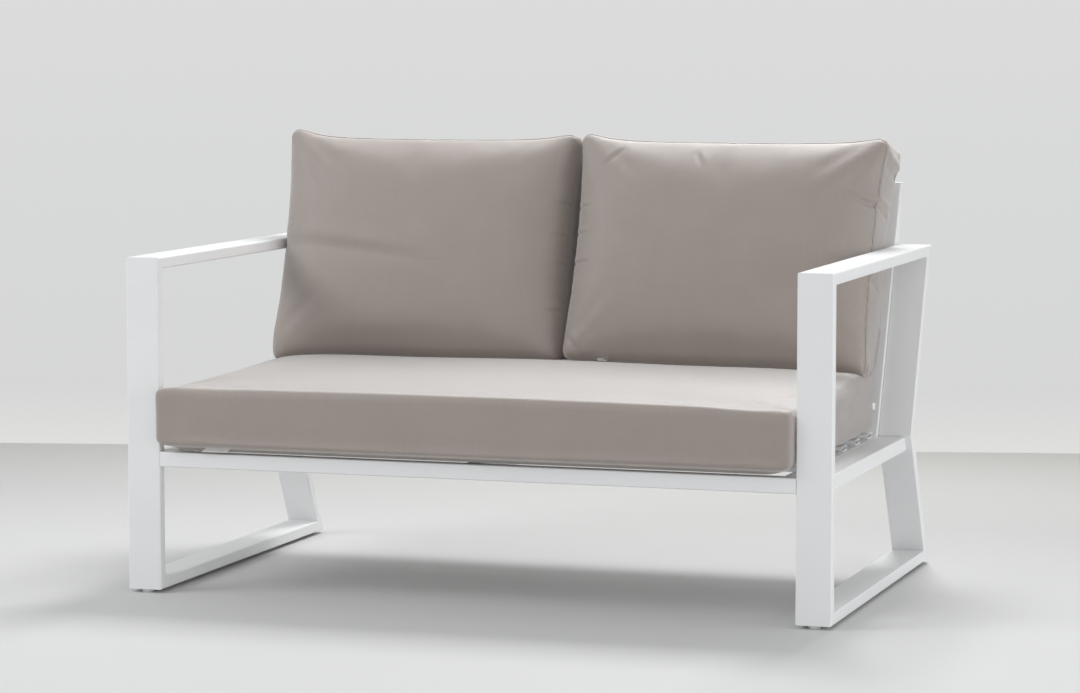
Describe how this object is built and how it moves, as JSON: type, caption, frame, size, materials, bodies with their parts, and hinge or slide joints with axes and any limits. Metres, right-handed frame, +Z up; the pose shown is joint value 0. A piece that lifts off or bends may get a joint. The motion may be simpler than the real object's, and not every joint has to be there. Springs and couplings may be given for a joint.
{
  "type": "patio loveseat",
  "caption": "Two-seat outdoor sofa: looped flat-tube side frames, slatted seat and reclined back, one box seat cushion, loose back cushions and screw feet.",
  "frame": {"origin": "on the floor, midway across and midway from front to back of the whole loveseat", "axes": "+X to the right as seen from in front, +Y from the front to the back, +Z up"},
  "size_m": [1.44, 0.9567, 0.8942],
  "materials": {
    "white_powder_coat": "satin",
    "cushion_cover_fabric": "matte",
    "cushion_filling": "matte",
    "zip_tape": "matte",
    "label_ribbon": "matte",
    "foot_plastic": "matte",
    "cap_plastic": "satin",
    "screw_steel": "satin"
  },
  "bodies": {
    "frame": {"backrest_inserts": "screw_steel", "backrest_lower_rail": "white_powder_coat", "backrest_post_caps": "cap_plastic", "backrest_screws": "screw_steel", "backrest_slats": "white_powder_coat", "backrest_top_rail": "white_powder_coat", "backrest_washers": "screw_steel", "centre_seat_rail": "white_powder_coat", "foot_inserts": "screw_steel", "front_seat_rail": "white_powder_coat", "left_armrest": "white_powder_coat", "left_backrest_post": "white_powder_coat", "left_floor_runner": "white_powder_coat", "left_front_leg": "white_powder_coat", "left_lower_rear_leg": "white_powder_coat", "left_seat_end_rail": "white_powder_coat", "left_seat_side_rail": "white_powder_coat", "left_upper_rear_leg": "white_powder_coat", "rear_seat_rail": "white_powder_coat", "right_armrest": "white_powder_coat", "right_backrest_post": "white_powder_coat", "right_floor_runner": "white_powder_coat", "right_front_leg": "white_powder_coat", "right_lower_rear_leg": "white_powder_coat", "right_seat_end_rail": "white_powder_coat", "right_seat_side_rail": "white_powder_coat", "right_upper_rear_leg": "white_powder_coat", "seat_frame_inserts": "screw_steel", "seat_frame_screws": "screw_steel", "seat_frame_washers": "screw_steel", "seat_slats": "white_powder_coat"},
    "front_left_foot": {"front_left_foot_pad": "foot_plastic", "front_left_foot_stud": "screw_steel"},
    "front_right_foot": {"front_right_foot_pad": "foot_plastic", "front_right_foot_stud": "screw_steel"},
    "left_back_cushion": {"left_back_cushion_cover": "cushion_cover_fabric", "left_back_cushion_filling": "cushion_filling", "left_back_cushion_zip": "zip_tape"},
    "rear_left_foot": {"rear_left_foot_pad": "foot_plastic", "rear_left_foot_stud": "screw_steel"},
    "rear_right_foot": {"rear_right_foot_pad": "foot_plastic", "rear_right_foot_stud": "screw_steel"},
    "right_back_cushion": {"right_back_cushion_cover": "cushion_cover_fabric", "right_back_cushion_filling": "cushion_filling", "right_back_cushion_label": "label_ribbon", "right_back_cushion_zip": "zip_tape"},
    "seat_cushion": {"seat_cushion_cover": "cushion_cover_fabric", "seat_cushion_foam": "cushion_filling", "seat_cushion_labels": "label_ribbon", "seat_cushion_zip": "zip_tape"}
  },
  "joints": [
    {"name": "seat_cushion_lift", "type": "slide", "parent": "frame", "child": "seat_cushion", "axis": [0, 0, 1], "range_m": [0, 0.55]},
    {"name": "left_back_cushion_lift", "type": "slide", "parent": "seat_cushion", "child": "left_back_cushion", "axis": [0, 0, 1], "range_m": [0, 0.45]},
    {"name": "right_back_cushion_lift", "type": "slide", "parent": "seat_cushion", "child": "right_back_cushion", "axis": [0, 0, 1], "range_m": [0, 0.45]},
    {"name": "front_left_foot_screw", "type": "slide", "parent": "frame", "child": "front_left_foot", "axis": [0, 0, -1], "range_m": [0, 0.01]},
    {"name": "front_right_foot_screw", "type": "slide", "parent": "frame", "child": "front_right_foot", "axis": [0, 0, -1], "range_m": [0, 0.01]},
    {"name": "rear_left_foot_screw", "type": "slide", "parent": "frame", "child": "rear_left_foot", "axis": [0, 0, -1], "range_m": [0, 0.01]},
    {"name": "rear_right_foot_screw", "type": "slide", "parent": "frame", "child": "rear_right_foot", "axis": [0, 0, -1], "range_m": [0, 0.01]}
  ]
}
